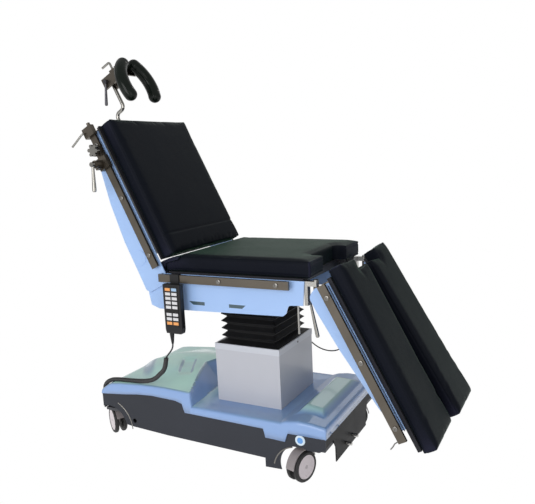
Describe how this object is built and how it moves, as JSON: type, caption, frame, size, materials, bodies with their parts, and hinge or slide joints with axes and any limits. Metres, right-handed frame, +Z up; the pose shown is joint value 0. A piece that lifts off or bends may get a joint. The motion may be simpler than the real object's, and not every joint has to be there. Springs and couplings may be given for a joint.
{
  "type": "operating table",
  "caption": "Mobile operating table on casters: lift column with two-way tilt, raised back with horseshoe headrest, split legs that drop and swing, side rails and a corded hand control.",
  "frame": {"origin": "the point on the floor under the lift column's axis", "axes": "+X to the foot end, +Y to the far side, +Z up"},
  "size_m": [1.5182, 0.6493, 1.599],
  "materials": {
    "frame_steel": "satin powder coat",
    "cover_mint": "gloss",
    "skirt_grey": "satin",
    "plate_black": "satin",
    "column_white": "satin",
    "rail_steel": "satin",
    "bellows_rubber": "matte",
    "board_dark": "matte",
    "head_pad_black": "gloss",
    "pad_navy": "satin",
    "panel_blue": "gloss",
    "handle_dark": "satin",
    "handset_black": "satin",
    "handset_keys": "satin",
    "cord_black": "satin",
    "caster_grey": "satin",
    "caster_tyre": "matte"
  },
  "bodies": {
    "base": {"base_frame": "frame_steel", "base_cover": "cover_mint", "skirt_near": "skirt_grey", "skirt_far": "skirt_grey", "foot_plate": "plate_black", "column_cover": "column_white", "cord_gland": "handset_black", "bellows": "bellows_rubber", "pendant_cord": "cord_black", "link_cable": "cord_black"},
    "swivel_head_near": {"caster_fork_head_near": "caster_grey"},
    "wheel_head_near": {"caster_wheel_head_near": "caster_tyre"},
    "swivel_head_far": {"caster_fork_head_far": "caster_grey"},
    "wheel_head_far": {"caster_wheel_head_far": "caster_tyre"},
    "swivel_foot_near": {"caster_fork_foot_near": "caster_grey"},
    "wheel_foot_near": {"caster_wheel_foot_near": "caster_tyre"},
    "swivel_foot_far": {"caster_fork_foot_far": "caster_grey"},
    "wheel_foot_far": {"caster_wheel_foot_far": "caster_tyre"},
    "lift": {"column_inner": "rail_steel"},
    "trunnion": {"tilt_head": "frame_steel"},
    "table": {"seat_frame": "frame_steel", "seat_plate_near": "panel_blue", "seat_plate_far": "panel_blue", "seat_rail_near": "rail_steel", "seat_rail_far": "rail_steel", "seat_board": "board_dark", "seat_pad": "pad_navy"},
    "back": {"back_plate_near": "panel_blue", "back_plate_far": "panel_blue", "back_rail_near": "rail_steel", "back_rail_far": "rail_steel", "back_board": "board_dark", "back_pad": "pad_navy", "back_frame": "frame_steel", "end_clamp": "rail_steel"},
    "headrest": {"headrest_rod": "rail_steel"},
    "head_clamp": {"headrest_clamp": "rail_steel"},
    "head_pad_near": {"head_pad_near": "head_pad_black"},
    "head_pad_far": {"head_pad_far": "head_pad_black"},
    "head_lever": {"headrest_lever": "handle_dark"},
    "head_crank": {"headrest_crank": "rail_steel"},
    "clamp": {"rail_clamp": "rail_steel"},
    "clamp_handle": {"clamp_handle": "rail_steel"},
    "star_knob": {"star_knob": "rail_steel"},
    "end_lever": {"end_lever": "rail_steel"},
    "knuckle_near": {"leg_knuckle_near": "rail_steel"},
    "leg_near": {"leg_plate_near": "panel_blue", "leg_rail_near": "rail_steel", "leg_board_near": "board_dark", "leg_pad_near": "pad_navy"},
    "leg_lever_near": {"leg_lever_near": "rail_steel"},
    "knuckle_far": {"leg_knuckle_far": "rail_steel"},
    "leg_far": {"leg_plate_far": "panel_blue", "leg_rail_far": "rail_steel", "leg_board_far": "board_dark", "leg_pad_far": "pad_navy"},
    "leg_lever_far": {"leg_lever_far": "rail_steel"},
    "pendant": {"pendant": "handset_black", "pendant_keys": "handset_keys", "pendant_lead": "cord_black"}
  },
  "joints": [
    {"name": "swivel_head_near", "type": "hinge", "parent": "base", "child": "swivel_head_near", "pos_m": [-0.632, -0.205, 0.057], "axis": [0, 0, 1], "continuous": true},
    {"name": "roll_head_near", "type": "hinge", "parent": "swivel_head_near", "child": "wheel_head_near", "pos_m": [-0.65045, -0.19302, 0.057], "axis": [0.5446, 0.8387, 0], "continuous": true},
    {"name": "swivel_head_far", "type": "hinge", "parent": "base", "child": "swivel_head_far", "pos_m": [-0.632, 0.205, 0.057], "axis": [0, 0, 1], "continuous": true},
    {"name": "roll_head_far", "type": "hinge", "parent": "swivel_head_far", "child": "wheel_head_far", "pos_m": [-0.61133, 0.19748, 0.057], "axis": [-0.342, -0.9397, 0], "continuous": true},
    {"name": "swivel_foot_near", "type": "hinge", "parent": "base", "child": "swivel_foot_near", "pos_m": [0.268, -0.228, 0.057], "axis": [0, 0, 1], "continuous": true},
    {"name": "roll_foot_near", "type": "hinge", "parent": "swivel_foot_near", "child": "wheel_foot_near", "pos_m": [0.26194, -0.24915, 0.057], "axis": [-0.9613, 0.2756, 0], "continuous": true},
    {"name": "swivel_foot_far", "type": "hinge", "parent": "base", "child": "swivel_foot_far", "pos_m": [0.268, 0.228, 0.057], "axis": [0, 0, 1], "continuous": true},
    {"name": "roll_foot_far", "type": "hinge", "parent": "swivel_foot_far", "child": "wheel_foot_far", "pos_m": [0.28794, 0.2373, 0.057], "axis": [0.4226, -0.9063, 0], "continuous": true},
    {"name": "lift", "type": "slide", "parent": "base", "child": "lift", "axis": [0, 0, 1], "range_m": [-0.09, 0.18], "deforming": ["bellows", "pendant_cord", "link_cable"]},
    {"name": "trend", "type": "hinge", "parent": "lift", "child": "trunnion", "pos_m": [0, 0, 0.668], "axis": [0, -1, 0], "range_deg": [-15, 25]},
    {"name": "lateral_tilt", "type": "hinge", "parent": "trunnion", "child": "table", "pos_m": [0, 0, 0.668], "axis": [1, 0, 0], "range_deg": [-15, 15]},
    {"name": "back_raise", "type": "hinge", "parent": "table", "child": "back", "pos_m": [-0.2835, 0, 0.727], "axis": [0, 1, 0], "range_deg": [-83.4, 11.6]},
    {"name": "headrest_slide", "type": "slide", "parent": "back", "child": "headrest", "axis": [-0.4478, 0, 0.8942], "range_m": [-0.06, 0.08]},
    {"name": "headrest_tilt", "type": "hinge", "parent": "headrest", "child": "head_clamp", "pos_m": [-0.68803, 0, 1.51027], "axis": [0, 1, 0], "range_deg": [-30, 30]},
    {"name": "head_pad_near_spread", "type": "hinge", "parent": "head_clamp", "child": "head_pad_near", "pos_m": [-0.60935, -0.04, 1.54967], "axis": [0.8942, 0, 0.4478], "range_deg": [-15, 0]},
    {"name": "head_pad_far_spread", "type": "hinge", "parent": "head_clamp", "child": "head_pad_far", "pos_m": [-0.60935, 0.04, 1.54967], "axis": [-0.8942, 0, -0.4478], "range_deg": [-15, 0]},
    {"name": "headrest_lever_turn", "type": "hinge", "parent": "head_clamp", "child": "head_lever", "pos_m": [-0.68803, 0, 1.51027], "axis": [0, 1, 0], "range_deg": [-45, 45]},
    {"name": "headrest_crank_turn", "type": "hinge", "parent": "head_clamp", "child": "head_crank", "pos_m": [-0.66748, 0, 1.54069], "axis": [-0.4478, 0, 0.8942], "continuous": true},
    {"name": "clamp_slide", "type": "slide", "parent": "back", "child": "clamp", "axis": [-0.4478, 0, 0.8942], "range_m": [-0.115, 0]},
    {"name": "clamp_handle_turn", "type": "hinge", "parent": "clamp", "child": "clamp_handle", "pos_m": [-0.51341, -0.347, 1.16602], "axis": [0, 1, 0], "range_deg": [-90, 90]},
    {"name": "star_knob_turn", "type": "hinge", "parent": "clamp", "child": "star_knob", "pos_m": [-0.53044, -0.318, 1.21789], "axis": [0, 1, 0], "continuous": true},
    {"name": "end_lever_turn", "type": "hinge", "parent": "back", "child": "end_lever", "pos_m": [-0.58101, -0.3, 1.28315], "axis": [0, 1, 0], "range_deg": [-45, 45]},
    {"name": "leg_near_swing", "type": "hinge", "parent": "table", "child": "knuckle_near", "pos_m": [0.345, -0.25, 0.7], "axis": [0, 0, 1], "range_deg": [-90, 0]},
    {"name": "leg_near_pitch", "type": "hinge", "parent": "knuckle_near", "child": "leg_near", "pos_m": [0.381, -0.23, 0.727], "axis": [0, 1, 0], "range_deg": [-61.8, 20]},
    {"name": "leg_near_lever_turn", "type": "hinge", "parent": "table", "child": "leg_lever_near", "pos_m": [0.311, -0.229, 0.668], "axis": [0, 1, 0], "range_deg": [-35, 20]},
    {"name": "leg_far_swing", "type": "hinge", "parent": "table", "child": "knuckle_far", "pos_m": [0.345, 0.25, 0.7], "axis": [0, 0, -1], "range_deg": [-90, 0]},
    {"name": "leg_far_pitch", "type": "hinge", "parent": "knuckle_far", "child": "leg_far", "pos_m": [0.381, 0.23, 0.727], "axis": [0, 1, 0], "range_deg": [-59.4, 22.4]},
    {"name": "leg_far_lever_turn", "type": "hinge", "parent": "table", "child": "leg_lever_far", "pos_m": [0.311, 0.229, 0.668], "axis": [0, 1, 0], "range_deg": [-35, 20]},
    {"name": "pendant_unhook", "type": "slide", "parent": "table", "child": "pendant", "axis": [0, 0, 1], "range_m": [0, 0.03]}
  ],
  "couplings": [
    {"joint": "head_pad_far_spread", "follows": "head_pad_near_spread", "ratio": 1}
  ]
}
